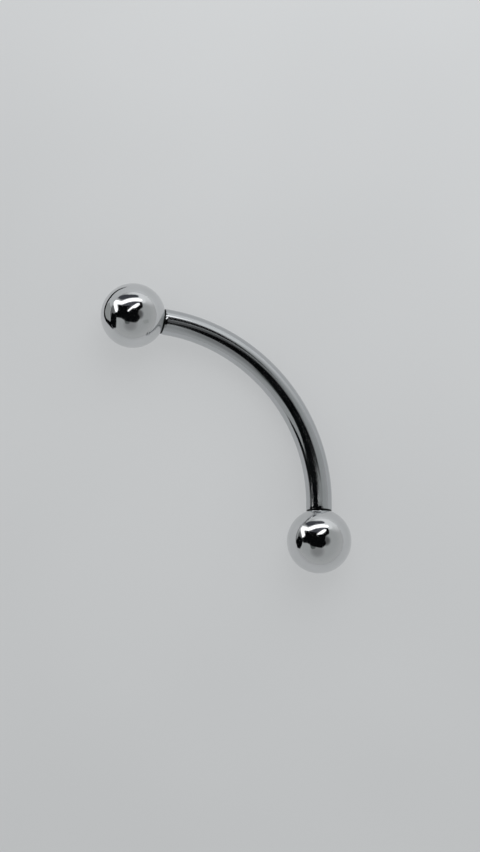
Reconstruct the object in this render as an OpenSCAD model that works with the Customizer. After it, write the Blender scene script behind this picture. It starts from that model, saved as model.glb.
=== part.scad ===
// Curved barbell for an eyebrow piercing: a bent wire bar with a ball on each end.
// Sizes are in millimetres. The part lies as it rests on a table: both balls and the
// middle of the bar touch the plane Z = 0, the bar bows towards +Y, and X = 0 is its mirror plane.

/* [Bar] */
// Diameter of the bar, 1.2 being 16 gauge
bar_d = 1.2; // [1:0.1:1.4]
// Straight distance between the shoulders at the bar's two ends
bar_length = 12; // [10:0.5:14]
// Radius of the centre line where the bar is bent
bend_r = 8.2; // [8:0.1:11]
// Straight stretch at each end, between the bend and the shoulder
straight_end = 0.8; // [0.5:0.05:1.5]

/* [Studs] */
// Step at each shoulder, from the bar's surface in to the stud's
shoulder_step = 0.06; // [0.05:0.01:0.15]
// Length of a stud past its shoulder
stud_length = 1.4; // [1:0.1:1.6]
// Bevel round a stud's tip
tip_bevel = 0.12; // [0.05:0.01:0.2]

/* [Balls] */
// Diameter of each ball
ball_d = 3; // [2.5:0.25:4]
// Depth of the counterbore that the shoulder sits in, below the ball's round surface
seat_depth = 0.35; // [0.2:0.01:0.45]
// Bevel round the mouth of the counterbore
mouth_bevel = 0.04; // [0.02:0.01:0.06]

/* [Clearances] */
// Radial gap between the bar and the counterbore, and between a stud and its hole
radial_gap = 0.03; // [0.02:0.005:0.05]
// Gap between a shoulder and the floor of its counterbore
shoulder_gap = 0.02; // [0.01:0.005:0.05]
// Gap between a stud's tip and the bottom of its hole
tip_gap = 0.15; // [0.1:0.05:0.2]

/* [Hidden] */

facets = 96;
bar_r = bar_d / 2;
ball_r = ball_d / 2;
stud_r = bar_r - shoulder_step;
counterbore_r = bar_r + radial_gap;
hole_r = stud_r + radial_gap;

// Angle that the bar turns through from its middle to either straight end
half_bend = asin(bar_length / 2 / norm([bend_r, straight_end])) - atan(straight_end / bend_r);

// Heights above a ball's centre, along the axis of its hole
rim_height = sqrt(ball_r * ball_r - counterbore_r * counterbore_r);
seat_height = rim_height - seat_depth;
shoulder_height = seat_height + shoulder_gap;
tip_height = shoulder_height - stud_length;
hole_bottom = tip_height - tip_gap;

// In the plane of the bend, the ball centres lie this far behind the bar's middle
bow = bend_r * (1 - cos(half_bend)) + (straight_end + shoulder_height) * sin(half_bend);
// The plane of the bend leans until the middle of the bar lies on the table too
lean = asin((ball_r - bar_r) / bow);
// Y of the bar's middle, which puts the middle of the part's outline at Y = 0
middle_y = (bow * cos(lean) + ball_r - bar_r) / 2;

// Angle that each half of the bend is made past the bar's middle, to be cut off square there
spare_angle = 5;
// A cutter runs this far past the surface that it opens
cutter_over = 1;

// Takes the plane of the bend, with the bar's middle at its origin, to where it rests
module at_rest() {
    translate([0, middle_y, bar_r]) rotate([-lean, 0, 0]) children();
}

// Takes the axis +Z at the origin to one end of the bar: the shoulder is at Z = 0 and +Z
// points back along the bar. Side is 1 for the right-hand end and -1 for the left-hand one.
module at_shoulder(side) {
    mirror([side < 0 ? 1 : 0, 0, 0])
        translate([bend_r * sin(half_bend), -bend_r * (1 - cos(half_bend)), 0])
            rotate([0, 0, -half_bend])
                translate([straight_end, 0, 0])
                    rotate([0, -90, 0])
                        children();
}

// One end of the bar along Z, from the stud's tip to the end of the straight stretch
module bar_end() {
    rotate_extrude($fn = facets)
        polygon([
            [0, -stud_length],
            [stud_r - tip_bevel, -stud_length],
            [stud_r, tip_bevel - stud_length],
            [stud_r, 0],
            [bar_r, 0],
            [bar_r, straight_end],
            [0, straight_end]
        ]);
}

// The bent stretch that follows bar_end() and runs on past the bar's middle
module end_bend() {
    translate([0, -bend_r, straight_end])
        rotate([90, 0, 90])
            rotate_extrude(angle = half_bend + spare_angle, $fn = facets)
                translate([bend_r, 0])
                    circle(r = bar_r, $fn = facets);
}

// Right-hand half of the bar, cut off square at X = 0
module half_bar() {
    difference() {
        at_shoulder(1) {
            bar_end();
            end_bend();
        }
        translate([-2 * bar_d, -bar_d, -bar_d]) cube(2 * bar_d);
    }
}

// Bent bar with a stud on each end, one piece
module bar() {
    color("silver")
        at_rest() {
            half_bar();
            mirror([1, 0, 0]) half_bar();
        }
}

// What is cut from a ball for the stud and the end of the bar, along Z from the ball's centre
module socket() {
    rotate_extrude($fn = facets)
        polygon([
            [0, hole_bottom],
            [hole_r, hole_bottom],
            [hole_r, seat_height],
            [counterbore_r, seat_height],
            [counterbore_r, rim_height - mouth_bevel],
            [counterbore_r + mouth_bevel + cutter_over, rim_height + cutter_over],
            [0, rim_height + cutter_over]
        ]);
}

// Ball with a blind hole, set on the end of the bar on the given side
module end_ball(side) {
    at_rest()
        at_shoulder(side)
            translate([0, 0, -shoulder_height])
                difference() {
                    sphere(r = ball_r, $fn = facets);
                    socket();
                }
}

module ball_left() {
    color("lightgray") end_ball(-1);
}

module ball_right() {
    color("lightgray") end_ball(1);
}

bar();
ball_left();
ball_right();
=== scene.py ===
"""Looks of the curved barbell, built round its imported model. Lengths are in metres."""
import math

import bpy
from mathutils import Matrix, Vector


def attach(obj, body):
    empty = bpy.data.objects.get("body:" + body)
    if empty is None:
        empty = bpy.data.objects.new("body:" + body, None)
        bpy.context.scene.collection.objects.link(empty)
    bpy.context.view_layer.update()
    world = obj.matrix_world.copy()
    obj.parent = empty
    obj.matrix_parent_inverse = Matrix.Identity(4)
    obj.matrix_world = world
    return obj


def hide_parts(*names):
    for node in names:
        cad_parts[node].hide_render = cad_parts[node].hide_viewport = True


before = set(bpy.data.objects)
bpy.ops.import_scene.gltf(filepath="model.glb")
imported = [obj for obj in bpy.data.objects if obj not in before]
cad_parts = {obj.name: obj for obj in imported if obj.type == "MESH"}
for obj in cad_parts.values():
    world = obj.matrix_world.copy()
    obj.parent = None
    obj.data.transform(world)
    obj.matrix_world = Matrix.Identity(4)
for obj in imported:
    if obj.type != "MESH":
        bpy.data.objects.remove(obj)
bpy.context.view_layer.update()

MM = 0.001

# Driving sizes of the part, the same as in its source
BAR_D = 1.2 * MM
BAR_LENGTH = 12 * MM
BEND_R = 8.2 * MM
STRAIGHT_END = 0.8 * MM
SHOULDER_STEP = 0.06 * MM
STUD_LENGTH = 1.4 * MM
TIP_BEVEL = 0.12 * MM
BALL_D = 3 * MM
SEAT_DEPTH = 0.35 * MM
MOUTH_BEVEL = 0.04 * MM
RADIAL_GAP = 0.03 * MM
SHOULDER_GAP = 0.02 * MM
TIP_GAP = 0.15 * MM

# Fine forms that only the looks have
THREAD_PITCH = 0.25 * MM
THREAD_DEPTH = 0.11 * MM
# The thread fades in and out over this length at each of its ends
THREAD_RUNOUT = 0.16 * MM
# Share of a thread's flank that is flat at its root, and again at its crest
THREAD_FLAT = 0.12
# Share of the thread's depth by which the stud is narrower just below its shoulder
RELIEF_SHARE = 0.5
EDGE_ROUND = 0.015 * MM
# The bar's ends are rounded off where they enter the balls
END_ROUND_LENGTH = 0.2 * MM
END_ROUND_DROP = 0.04 * MM
# How far the painted crevice shade at a ball's mouth reaches along the bar, inwards and outwards
CREVICE = 0.08 * MM

# Worked out from the sizes. Heights in a ball are from its centre towards the bar
BAR_R = BAR_D / 2
BALL_R = BALL_D / 2
STUD_R = BAR_R - SHOULDER_STEP
COUNTERBORE_R = BAR_R + RADIAL_GAP
HOLE_R = STUD_R + RADIAL_GAP
# The angle from the bar's middle to a straight end, at which the shoulders are the bar's length apart
HALF_BEND = math.asin(BAR_LENGTH / 2 / math.hypot(BEND_R, STRAIGHT_END)) - math.atan(STRAIGHT_END / BEND_R)
RIM_HEIGHT = math.sqrt(BALL_R ** 2 - COUNTERBORE_R ** 2)
SEAT_HEIGHT = RIM_HEIGHT - SEAT_DEPTH
SHOULDER_HEIGHT = SEAT_HEIGHT + SHOULDER_GAP
HOLE_BOTTOM = SHOULDER_HEIGHT - STUD_LENGTH - TIP_GAP
# From the bar's shoulder to the ball's mouth
MOUTH_OVER_SHOULDER = SEAT_DEPTH - SHOULDER_GAP
# From the middle of the bar to the line between the balls' centres
BOW = BEND_R * (1 - math.cos(HALF_BEND)) + (STRAIGHT_END + SHOULDER_HEIGHT) * math.sin(HALF_BEND)
# The lean at which both balls and the middle of the bar lie on the floor
LEAN = math.asin((BALL_R - BAR_R) / BOW)
# The place of the bar's middle that has the origin midway across the part
MIDDLE_Y = (BOW * math.cos(LEAN) + BALL_R - BAR_R) / 2

# How finely the meshes are divided
BAR_SIDES = 112
BALL_SIDES = 160
BALL_ROWS = 112
BEND_ROWS = 150
END_ROUND_ROWS = 12
THREAD_ROWS_PER_TURN = 20
# How far up the bevel of the stud's tip its second ring lies, as a share
BEVEL_RING = 0.9
# The middle of a quarter round lies about this share of its radius from both of its sides
ROUND_MIDDLE = 0.3
# Where faces meet at more than this angle, the edge is shaded sharp
SHARP_ANGLE = math.radians(32)

# The two ends of the bar
LEFT = -1
RIGHT = 1

# Places in a piece's list of materials: what shows, the thread, and the seat where bar and ball meet
OUTSIDE = 0
THREADED = 1
# The seat is painted near black: shade in the crevice, with a little grime
SHADED_SEAT = 2

# The steels: base colour where it is darkest and lightest, least and greatest roughness, and depth of
# the hairline marks
STEELS = {
    "polished_steel": ((0.645, 0.655, 0.66), (0.675, 0.68, 0.69), 0.055, 0.1, 0.002 * MM),
    # The wire's steel is the balls' steel made a little darker: painted shade
    "polished_wire_steel": ((0.52, 0.535, 0.545), (0.545, 0.555, 0.57), 0.09, 0.13, 0.002 * MM),
    "thread_cut_steel": ((0.6, 0.61, 0.61), (0.65, 0.66, 0.66), 0.2, 0.3, 0.006 * MM),
    # The seat's near-black base colour is painted crevice shade, with a little grime
    "seat_shade_steel": ((0.02, 0.022, 0.022), (0.04, 0.043, 0.042), 0.35, 0.5, 0.006 * MM),
}
# The middle stretch of a noise, over which tones and roughness run from their least to their greatest
NOISE_LOW = 0.35
NOISE_HIGH = 0.65
# The noise of the polish, and that of the hairline marks, which is drawn out along a slanting direction.
# Their scales are to the millimetre
POLISH_NOISE_SCALE = 1.1
MARKS_SCALE = (1.5, 60.0, 9.0)
MARKS_SLANT = (0.3, 0.5, 0.9)
MARKS_STRENGTH = 0.12

# The camera stands 150 mm off, nearly overhead, and is turned as the photograph is
CAMERA_DISTANCE = 150 * MM
CAMERA_AIM = Vector((0.33, -0.51, 0.98)) * MM
CAMERA_TURN = math.radians(-17.10)
CAMERA_TILT = math.radians(2.88)
CAMERA_ROLL = math.radians(67.54)
CAMERA_CLIP_START = 10 * MM
CAMERA_CLIP_END = 5
# The lens and the sensor are in millimetres
CAMERA_LENS = 136.27
SENSOR_WIDTH = 36

CAMERA_ROTATION = (Matrix.Rotation(CAMERA_TURN, 3, "Z") @ Matrix.Rotation(CAMERA_TILT, 3, "X")
                   @ Matrix.Rotation(CAMERA_ROLL, 3, "Z"))
PICTURE_RIGHT, PICTURE_UP, TO_CAMERA = CAMERA_ROTATION.transposed()
# The point round which cards and lights are placed
MIDDLE = Vector((0, 0, 1)) * MM

# The floor: half its width, its tones, the scale of their noise to the millimetre, its roughness, and a
# faint glow of its own, which keeps it pale under soft light
FLOOR_HALF_SIZE = 1.5
FLOOR_DARK = (0.44, 0.45, 0.46)
FLOOR_LIGHT = (0.47, 0.48, 0.49)
FLOOR_NOISE_SCALE = 0.05
FLOOR_ROUGHNESS = 0.65
FLOOR_GLOW = 0.235

# The soft boxes: place as for beside(), width in millimetres, power in watts, and whether it casts shadows
SOFT_BOXES = {
    "key_light": ((12, 70, 100), 90, 0.012, True),
    "fill_light": ((25, 60, 45), 60, 0.03, False),
}

# The surroundings: their tones at the horizon and overhead, and the cosine of the angle from the camera's
# direction within which they have the second
HORIZON_TONE = (0.475, 0.485, 0.485)
OVERHEAD_TONE = (0.41, 0.425, 0.425)
OVERHEAD_COSINE = 0.6
# Soft patches of another tone: place as for toward(), the angles from it in degrees at which the patch
# begins to fade and is gone, and the tone
SOFT_PATCHES = [
    ((35, 88), 12, 48, 0.85),
    ((-82, 54), 8, 20, 0.85),
    ((38, 56), 5, 12, 0.9),
    ((-82, 16), 8, 24, 0.16),
    ((22, 3), 8, 22, 0.11),
    ((-8, -34), 4, 30, 0.27),
]
# The slight cool tint of those tones
COOL_TINT = (1, 1.02, 1.03)

# Cards stand round the part for the metal to mirror: strips for its white patches, flags for its dark ones.
# Each kind has a glow of one tone and strength
CARD_GLOWS = {
    "strip_light": ((1, 1, 1), 1.9),
    "black_flag": ((0.0015, 0.0018, 0.0022), 1),
    "dark_grey_flag": ((0.075, 0.078, 0.092), 1),
    "grey_flag": ((0.062, 0.066, 0.077), 1),
    "pale_flag": ((0.11, 0.12, 0.118), 1),
    "pale_grey_flag": ((0.35, 0.365, 0.36), 1),
}
# Cards that face the part: kind, distance in millimetres, and corners as for toward(). A nearer card hides
# what is behind it
FACING_CARDS = {
    "long_strip": ("strip_light", 400, [
        (-75, 49), (-57, 41), (-40, 38.5), (-28, 42), (-14, 47), (0, 50), (30, 50.5), (36, 55), (32, 61),
        (0, 63), (-20, 59.5), (-32, 55), (-42, 51.5), (-55, 57), (-70, 59)]),
    "short_strip": ("strip_light", 395, [
        (-73, 52), (-68, 27), (-63.5, 14), (-60, 12), (-55, 15), (-54, 23), (-58, 44)]),
    "slanted_strip": ("strip_light", 380, [
        (-18, 13), (-15, 13), (0, 25), (10, 26.5), (19, 33), (25.5, 39), (24, 44), (16, 43.5), (0, 33),
        (-10, 24.5), (-17, 17)]),
    "middle_flag": ("dark_grey_flag", 405, [
        (-38, 39), (-28, 43), (-14, 47.5), (0, 49.5), (28, 50), (24, 40), (0, 30), (-12, 24), (-28, 32)]),
    "back_flag": ("black_flag", 410, [
        (-55, 42), (-40, 38), (-28, 43), (-14, 47.5), (0, 49.5), (32, 49), (36, 40), (36, 28), (30, 24),
        (22, 18), (20, 8), (19, -5), (-60, -5), (-59, 8), (-57, 16), (-52, 24)]),
    "near_flag": ("black_flag", 105, [
        (-60, -5), (-42, -8), (-32, -14), (-25, -19), (-14, -21), (1, -24), (10, -24.5), (18, -18.5),
        (24, -11), (24, -4), (20, 4), (-60, 4)]),
    "lobe_flag": ("pale_flag", 110, [
        (-32, -12), (-22, -16), (-10, -20), (-15, -28), (-24, -30), (-30, -24)]),
    "edge_flag": ("black_flag", 45, [
        (-58, 2), (-40, -3), (-32, -4), (13, -4), (13, 8), (12, 18), (-20, 18), (-50, 14), (-61, 8)]),
    "top_flag": ("grey_flag", 405, [
        (-57, 66), (-50, 62), (-42, 56), (-32, 58), (-20, 62), (0, 65.5), (18, 67), (23, 73), (12, 78),
        (-14, 78), (-40, 78), (-53, 73)]),
}
# A black flag that rises from near the floor at the picture's left: corners as for beside()
LOW_FLAG = [(-45, -25, 12), (-41, -18, -1), (-32, -6, 0), (-60, 12, 12), (-94, 10, 58), (-80, -6, 46),
            (-60, -19, 29)]
# Cards that lie on the floor at the picture's left: kind, and corners as for on_floor()
FLOOR_CARDS = {
    "floor_line": ("black_flag", [
        (-57.3, -9.5), (-11.8, 4), (-10.1, 5.2), (-9.85, 6.5), (-9, 7.85), (-6.7, 8.95), (-5.9, 8.75),
        (-6.8, 7.9), (-8.25, 6.75), (-8.85, 5.5), (-9.35, 4.5), (-10.5, 3.45), (-13.2, 1.6), (-16.2, -1.5),
        (-22.5, -7.5), (-30, -12.5)]),
    "floor_shade": ("pale_grey_flag", [
        (-57.3, -9.5), (-11.8, 4), (-10.1, 5.2), (-9.85, 6.5), (-11.2, 8.1), (-58.8, 25)]),
}
FLOOR_CARD_HEIGHT = 0.05 * MM
# Louvres by the right ball: kind, the blades' near and far edge in millimetres from the ball, and each
# blade's left and right edge and its height as for toward()
LOUVRES = {
    "black_louvre": ("black_flag", 31, 45, [(-68, -53, up) for up in (19.5, 21, 22.5, 24, 25.3)]),
    "pale_louvre": ("pale_grey_flag", 8, 11, [(-6, 25, 32), (3, 26, 34.5), (10, 27, 36.5)]),
}


def at_rest():
    """Takes the plane of the bend, with the bar's middle at its origin, to where it rests."""
    return Matrix.Translation((0, MIDDLE_Y, BAR_R)) @ Matrix.Rotation(-LEAN, 4, "X")


def at_shoulder(side):
    """Takes the axis Z at the origin to one end of the bar: shoulder at Z = 0, and +Z back along the bar."""
    other_end = Matrix.Rotation(math.pi if side == LEFT else 0, 4, "Y")
    bend_end = Matrix.Translation((BEND_R * math.sin(HALF_BEND), -BEND_R * (1 - math.cos(HALF_BEND)), 0))
    return (at_rest() @ other_end @ bend_end @ Matrix.Rotation(-HALF_BEND, 4, "Z")
            @ Matrix.Translation((STRAIGHT_END, 0, 0)) @ Matrix.Rotation(-math.pi / 2, 4, "Y"))


def at_ball(side):
    """Takes the axis Z at the origin to a ball's centre, with +Z back along the bar."""
    return at_shoulder(side) @ Matrix.Translation((0, 0, -SHOULDER_HEIGHT))


def on_bend(angle):
    """Takes the XY plane to a cut through the bend, with Z along the bar from left to right."""
    return (at_rest() @ Matrix.Translation((0, -BEND_R, 0)) @ Matrix.Rotation(-angle, 4, "Z")
            @ Matrix.Translation((0, BEND_R, 0)) @ Matrix.Rotation(math.pi / 2, 4, "Y"))


def toward(across, up):
    """Direction from the part, in degrees away from the camera towards the picture's right and top."""
    angle = math.radians(math.hypot(across, up))
    side = math.atan2(up, across)
    in_picture = PICTURE_RIGHT * math.cos(side) + PICTURE_UP * math.sin(side)
    return TO_CAMERA * math.cos(angle) + in_picture * math.sin(angle)


def beside(right, up, off):
    """A point in millimetres from MIDDLE: to the picture's right, to its top and towards the camera."""
    return MIDDLE + (PICTURE_RIGHT * right + PICTURE_UP * up + TO_CAMERA * off) * MM


def on_floor(right, up):
    """A point just over the floor, in millimetres from MIDDLE to the picture's right and to its top."""
    place = beside(right, up, 0)
    place.z = FLOOR_CARD_HEIGHT
    return place


def add_object(name, data):
    """Puts data into the scene as an object."""
    made = bpy.data.objects.new(name, data)
    bpy.context.scene.collection.objects.link(made)
    return made


def add_mesh(name, points, faces, materials):
    """Puts a new mesh into the scene as an object."""
    mesh = bpy.data.meshes.new(name)
    mesh.from_pydata(points, [], faces)
    for material in materials:
        mesh.materials.append(material)
    return add_object(name, mesh)


def add_rings(name, rings, sides, materials, material_of):
    """A closed piece through rings, each a matrix with a function from a share of a turn to the radius."""
    points = []
    for place, radius in rings:
        for side in range(sides):
            turn = side / sides
            angle = 2 * math.pi * turn
            out = radius(turn)
            points.append(place @ Vector((out * math.cos(angle), out * math.sin(angle), 0)))
    faces = []
    marks = []
    for row in range(len(rings) - 1):
        here = row * sides
        above = here + sides
        for side in range(sides):
            following = (side + 1) % sides
            faces.append((here + side, here + following, above + following, above + side))
            marks.append(material_of(row))
    # A fan of faces round a middle point closes each end
    for row in (0, len(rings) - 1):
        middle = len(points)
        points.append(rings[row][0].translation)
        for side in range(sides):
            corners = (row * sides + side, row * sides + (side + 1) % sides, middle)
            faces.append(corners if row else corners[::-1])
            marks.append(material_of(row))
    piece = add_mesh(name, points, faces, materials)
    piece.data.polygons.foreach_set("material_index", marks)
    piece.data.polygons.foreach_set("use_smooth", [True] * len(faces))
    piece.data.set_sharp_from_angle(angle=SHARP_ANGLE)
    piece.data.update()
    return piece


def even(radius):
    """The same radius all round."""
    return lambda turn: radius


def turned_round(radius):
    """The same radii seen from the other side, so that a thread keeps its hand."""
    return lambda turn: radius(0.5 - turn)


def smooth_step(share):
    """Eases from 0 to 1 as the share does."""
    share = max(0.0, min(1.0, share))
    return share * share * (3 - 2 * share)


def thread_wave(height, turn):
    """Shape of a right-hand thread at a height and a share of a turn: 1 on its crest and 0 in its root."""
    phase = (height / THREAD_PITCH - turn) % 1
    flank = 1 - abs(2 * phase - 1)
    return smooth_step((flank - THREAD_FLAT) / (1 - 2 * THREAD_FLAT))


def thread_fade(height, low, high):
    """How fully a thread from low to high is formed at a height: 0 at both ends and 1 between."""
    return smooth_step((height - low) / THREAD_RUNOUT) * smooth_step((high - height) / THREAD_RUNOUT)


def thread_heights(start, end):
    """Even heights from start to end, close enough to show the thread's turns."""
    rows = round(abs(end - start) / THREAD_PITCH * THREAD_ROWS_PER_TURN)
    return [start + (end - start) * row / rows for row in range(rows + 1)]


def stud_radius(height, fade, relief):
    """Radius of the stud at a height, with its thread cut into it and the relief narrowing it."""

    def radius(turn):
        cut = (1 - thread_wave(height, turn)) * fade + relief
        return STUD_R - THREAD_DEPTH * min(cut, 1)

    return radius


def hole_radius(height, fade):
    """Radius of the ball's hole at a height, with its thread cut into the wall."""
    return lambda turn: HOLE_R + THREAD_DEPTH * fade * thread_wave(height, turn)


def stud_rings():
    """Heights over the shoulder, all below 0, with the radius there, from the stud's tip to the shoulder."""
    rings = [
        (-STUD_LENGTH, even(STUD_R - TIP_BEVEL)),
        (-STUD_LENGTH + TIP_BEVEL * BEVEL_RING, even(STUD_R - TIP_BEVEL * (1 - BEVEL_RING))),
    ]
    start = TIP_BEVEL - STUD_LENGTH
    end = -EDGE_ROUND
    for height in thread_heights(start, end):
        relief = RELIEF_SHARE * smooth_step((height - end + THREAD_RUNOUT) / THREAD_RUNOUT)
        rings.append((height, stud_radius(height, thread_fade(height, start, end), relief)))
    return rings


def end_rings():
    """Heights over the shoulder, with the radius there, from the stud's tip to the bar's full width."""
    neck = BAR_R - END_ROUND_DROP
    rings = stud_rings() + [
        (0, even(neck - EDGE_ROUND)),
        (EDGE_ROUND * ROUND_MIDDLE, even(neck - EDGE_ROUND * ROUND_MIDDLE)),
        (EDGE_ROUND, even(neck)),
        (MOUTH_OVER_SHOULDER - CREVICE, even(neck)),
    ]
    for row in range(END_ROUND_ROWS + 1):
        share = row / END_ROUND_ROWS
        height = MOUTH_OVER_SHOULDER + END_ROUND_LENGTH * share
        rings.append((height, even(BAR_R - END_ROUND_DROP * (1 - share) ** 2)))
    return rings


def make_bar(materials):
    """The bar in one piece: a stud with a fine thread on each end, shoulders, straight ends and the bend."""
    end = end_rings()
    turn_over = Matrix.Rotation(math.pi, 4, "Y")
    rings = []
    for height, radius in end:
        rings.append((at_shoulder(LEFT) @ Matrix.Translation((0, 0, height)), radius))
    for row in range(BEND_ROWS + 1):
        rings.append((on_bend(HALF_BEND * (2 * row / BEND_ROWS - 1)), even(BAR_R)))
    for height, radius in reversed(end):
        place = at_shoulder(RIGHT) @ Matrix.Translation((0, 0, height)) @ turn_over
        rings.append((place, turned_round(radius)))
    rows_to_seat = sum(height < MOUTH_OVER_SHOULDER - CREVICE for height, radius in end)
    # Rows near the ball's mouth, inside and out, are painted near black as crevice shade
    rows_to_outside = sum(height < MOUTH_OVER_SHOULDER + CREVICE for height, radius in end)

    def material_of(row):
        """Both ends are alike, so a row of faces goes by how far it is from the nearer one."""
        from_end = min(row, len(rings) - 2 - row)
        if from_end < rows_to_seat:
            return THREADED
        return SHADED_SEAT if from_end < rows_to_outside else OUTSIDE

    return add_rings("curved_bar", rings, BAR_SIDES, materials, material_of)


def mouth_edge():
    """Radius and height of the circle where the bevel round the ball's mouth meets its surface."""
    across = COUNTERBORE_R
    up = RIM_HEIGHT - MOUTH_BEVEL
    half_sum = (across + up) / 2
    grown = math.sqrt(half_sum ** 2 - (across ** 2 + up ** 2 - BALL_R ** 2) / 2) - half_sum
    return across + grown, up + grown


def make_ball(name, side, materials):
    """One ball: round outside, a counterbore for the end of the bar and a threaded blind hole."""
    mouth_r, mouth_height = mouth_edge()
    below_mouth = math.atan2(mouth_height, mouth_r) + math.pi / 2
    outside = []
    for row in range(1, BALL_ROWS + 1):
        angle = -math.pi / 2 + below_mouth * row / BALL_ROWS
        outside.append((BALL_R * math.sin(angle), even(BALL_R * math.cos(angle))))
    start = SEAT_HEIGHT - THREAD_DEPTH
    end = HOLE_BOTTOM + THREAD_PITCH
    seat = [
        (RIM_HEIGHT - MOUTH_BEVEL, even(COUNTERBORE_R)),
        (SEAT_HEIGHT, even(COUNTERBORE_R)),
        (SEAT_HEIGHT, even(HOLE_R + THREAD_DEPTH)),
        (start, even(HOLE_R)),
    ]
    hole = []
    for height in thread_heights(start, end)[1:]:
        hole.append((height, hole_radius(height, thread_fade(height, end, start))))
    hole.append((HOLE_BOTTOM, even(HOLE_R)))
    centre = at_ball(side)
    rings = []
    for height, radius in outside + seat + hole:
        rings.append((centre @ Matrix.Translation((0, 0, height)), radius))
    rows_to_seat = len(outside) - 1
    rows_to_hole = rows_to_seat + len(seat)

    def material_of(row):
        if row < rows_to_seat:
            return OUTSIDE
        # The mouth's bevel, the counterbore and the seat are painted near black as shade in the recess
        return SHADED_SEAT if row < rows_to_hole else THREADED

    return add_rings(name, rings, BALL_SIDES, materials, material_of)


def adder(tree):
    """A function that adds a node to a tree, applies its settings, and sets or links its sockets."""

    def add(kind, settings=None, **sockets):
        node = tree.nodes.new(kind)
        for key, value in (settings or {}).items():
            setattr(node, key, value)
        for key, value in sockets.items():
            socket = node.inputs[key.replace("_", " ")]
            if isinstance(value, bpy.types.NodeSocket):
                tree.links.new(value, socket)
            else:
                socket.default_value = value
        return node

    return add


def new_material(name):
    """Two functions for a new material: one adds a node, and one ends it with a shader and returns it."""
    material = bpy.data.materials.new(name)
    material.use_nodes = True
    tree = material.node_tree
    tree.nodes.clear()
    add = adder(tree)
    output = add("ShaderNodeOutputMaterial")

    def finish(shader):
        tree.links.new(shader, output.inputs["Surface"])
        return material

    return add, finish


def place_in_mm(add):
    """Each point's place, in millimetres."""
    place = add("ShaderNodeTexCoord").outputs["Object"]
    return add("ShaderNodeMapping", Vector=place, Scale=(1 / MM, 1 / MM, 1 / MM)).outputs["Vector"]


def two_tones(add, noise, low, high):
    """A colour that runs from one to the other over the middle stretch of a noise."""
    ramp = add("ShaderNodeValToRGB", Fac=noise)
    for element, position, colour in zip(ramp.color_ramp.elements, (NOISE_LOW, NOISE_HIGH), (low, high)):
        element.position = position
        element.color = (*colour, 1)
    return ramp.outputs["Color"]


def steel_material(name, dark, light, rough_low, rough_high, mark_depth):
    """Bare surgical steel: hairline marks and slight changes in the polish. With a near-black base colour it
    is painted crevice shade.
    """
    add, finish = new_material(name)
    in_mm = place_in_mm(add)
    cloudy = add("ShaderNodeTexNoise", Vector=in_mm, Scale=POLISH_NOISE_SCALE, Detail=3.0,
                 Roughness=0.55).outputs["Fac"]
    polish = add("ShaderNodeMapRange", Value=cloudy, From_Min=NOISE_LOW, From_Max=NOISE_HIGH,
                 To_Min=rough_low, To_Max=rough_high).outputs["Result"]
    along = add("ShaderNodeMapping", Vector=in_mm, Rotation=MARKS_SLANT, Scale=MARKS_SCALE)
    hairs = add("ShaderNodeTexNoise", Vector=along.outputs["Vector"], Scale=1.0, Detail=2.0).outputs["Fac"]
    marks = add("ShaderNodeBump", Height=hairs, Strength=MARKS_STRENGTH, Distance=mark_depth)
    shader = add("ShaderNodeBsdfPrincipled", Base_Color=two_tones(add, cloudy, dark, light), Metallic=1.0,
                 Roughness=polish, Normal=marks.outputs["Normal"])
    return finish(shader.outputs["BSDF"])


def floor_material():
    """Plain pale matt table top."""
    add, finish = new_material("pale_floor")
    cloudy = add("ShaderNodeTexNoise", Vector=place_in_mm(add), Scale=FLOOR_NOISE_SCALE,
                 Detail=2.0).outputs["Fac"]
    shader = add("ShaderNodeBsdfPrincipled", Base_Color=two_tones(add, cloudy, FLOOR_DARK, FLOOR_LIGHT),
                 Roughness=FLOOR_ROUGHNESS, Specular_IOR_Level=0.0,
                 Emission_Color=(1, 1, 1, 1), Emission_Strength=FLOOR_GLOW)
    return finish(shader.outputs["BSDF"])


def card_material(name, tone, strength):
    """Even glow: full for a strip light, faint for a grey flag and next to none for a black one."""
    add, finish = new_material(name)
    glow = add("ShaderNodeEmission", Color=(*tone, 1), Strength=strength)
    material = finish(glow.outputs["Emission"])
    material.cycles.emission_sampling = "NONE"
    return material


def make_floor():
    """The surface that the part lies on."""
    half = FLOOR_HALF_SIZE
    corners = [(-half, -half, 0), (half, -half, 0), (half, half, 0), (-half, half, 0)]
    floor = add_mesh("floor", corners, [range(4)], [floor_material()])


def add_card(name, outlines, material):
    """One or more flat cards, each with its own outline, that only the polished metal sees."""
    points = []
    faces = []
    for outline in outlines:
        faces.append(range(len(points), len(points) + len(outline)))
        points += outline
    card = add_mesh(name, points, faces, [material])
    card.visible_camera = False
    card.visible_diffuse = False
    card.visible_shadow = False


def facing_outline(corners, distance):
    """Outline of a card square to its own direction, from corners as for toward()."""
    directions = [toward(across, up) for across, up in corners]
    centre = sum(directions, Vector()).normalized()
    return [MIDDLE + direction * (distance / direction.dot(centre)) for direction in directions]


def blade_outline(left, right, up, near, far):
    """Outline of a blade along rays that the right ball mirrors, so that only the bar beside it sees it."""
    ball = at_ball(RIGHT).translation

    def on_ray(across, distance):
        """The ball mirrors a direction from where its surface faces halfway to it."""
        return ball + toward(across / 2, up / 2) * BALL_R + toward(across, up) * distance

    return [on_ray(left, near), on_ray(right, near), on_ray(right, far), on_ray(left, far)]


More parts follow.
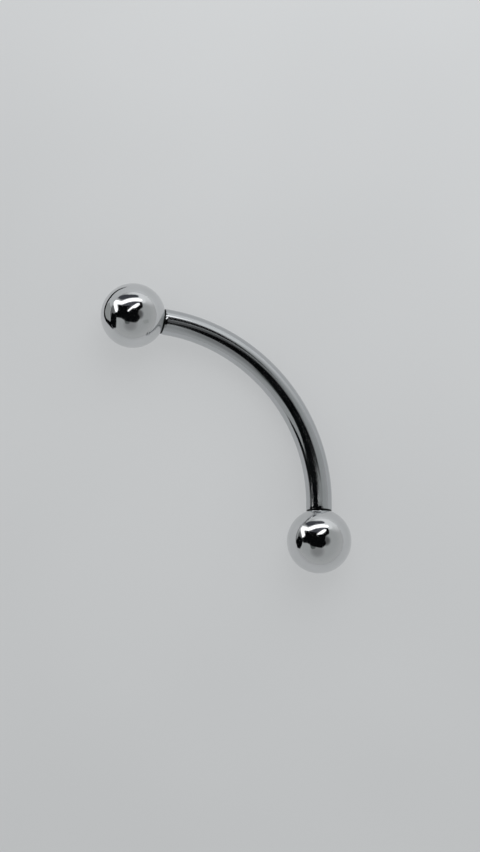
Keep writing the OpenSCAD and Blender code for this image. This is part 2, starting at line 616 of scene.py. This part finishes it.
def make_cards():
    """The strip lights and flags."""
    glows = {}
    for kind, (tone, strength) in CARD_GLOWS.items():
        glows[kind] = card_material(kind, tone, strength)
    for name, (kind, distance, corners) in FACING_CARDS.items():
        add_card(name, [facing_outline(corners, distance * MM)], glows[kind])
    add_card("low_flag", [[beside(*corner) for corner in LOW_FLAG]], glows["black_flag"])
    for name, (kind, corners) in FLOOR_CARDS.items():
        add_card(name, [[on_floor(*corner) for corner in corners]], glows[kind])
    for name, (kind, near, far, blades) in LOUVRES.items():
        add_card(name, [blade_outline(*blade, near * MM, far * MM) for blade in blades], glows[kind])


def make_world():
    """Soft studio surroundings, a little lighter towards the horizon, with the soft patches."""
    world = bpy.data.worlds.new("studio")
    world.use_nodes = True
    bpy.context.scene.world = world
    tree = world.node_tree
    tree.nodes.clear()
    add = adder(tree)
    direction = add("ShaderNodeTexCoord").outputs["Generated"]

    def nearness(centre, low, high):
        dot = add("ShaderNodeVectorMath", {"operation": "DOT_PRODUCT"})
        tree.links.new(direction, dot.inputs[0])
        dot.inputs[1].default_value = centre
        return add("ShaderNodeMapRange", {"interpolation_type": "SMOOTHSTEP"}, Value=dot.outputs["Value"],
                   From_Min=low, From_Max=high).outputs["Result"]

    def mix(share, under, over):
        return add("ShaderNodeMixRGB", Fac=share, Color1=under, Color2=over).outputs["Color"]

    overhead = nearness(TO_CAMERA, 0.0, OVERHEAD_COSINE)
    colour = mix(overhead, (*HORIZON_TONE, 1), (*OVERHEAD_TONE, 1))
    for place, fades, gone, tone in SOFT_PATCHES:
        share = nearness(toward(*place), math.cos(math.radians(gone)), math.cos(math.radians(fades)))
        tinted = [tone * tint for tint in COOL_TINT]
        colour = mix(share, colour, (*tinted, 1))
    background = add("ShaderNodeBackground", Color=colour)
    output = add("ShaderNodeOutputWorld")
    tree.links.new(background.outputs["Background"], output.inputs["Surface"])


def make_lights():
    """Round soft boxes turned to the part, which light the floor and aren't mirrored in the metal."""
    for name, (place, width, power, casts_shadow) in SOFT_BOXES.items():
        data = bpy.data.lights.new(name, "AREA")
        data.shape = "DISK"
        data.size = width * MM
        data.energy = power
        data.use_shadow = casts_shadow
        light = add_object(name, data)
        light.location = beside(*place)
        light.rotation_mode = "QUATERNION"
        light.rotation_quaternion = (light.location - MIDDLE).to_track_quat("Z", "Y")
        light.visible_glossy = False


def make_camera():
    """The camera at the photograph's viewing angle."""
    data = bpy.data.cameras.new("camera")
    data.lens = CAMERA_LENS
    data.sensor_width = SENSOR_WIDTH
    data.clip_start = CAMERA_CLIP_START
    data.clip_end = CAMERA_CLIP_END
    camera = add_object("camera", data)
    place = CAMERA_AIM + TO_CAMERA * CAMERA_DISTANCE
    camera.matrix_world = Matrix.Translation(place) @ CAMERA_ROTATION.to_4x4()
    bpy.context.scene.camera = camera


bpy.context.scene.view_settings.view_transform = "Standard"
make_camera()
make_world()
make_lights()
make_floor()
make_cards()

steels = {name: steel_material(name, *looks) for name, looks in STEELS.items()}
inside = [steels["thread_cut_steel"], steels["seat_shade_steel"]]
for piece, body in (
    (make_bar([steels["polished_wire_steel"], *inside]), "bar"),
    (make_ball("left_end_ball", LEFT, [steels["polished_steel"], *inside]), "ball_left"),
    (make_ball("right_end_ball", RIGHT, [steels["polished_steel"], *inside]), "ball_right"),
):
    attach(piece, body)
    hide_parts(body)
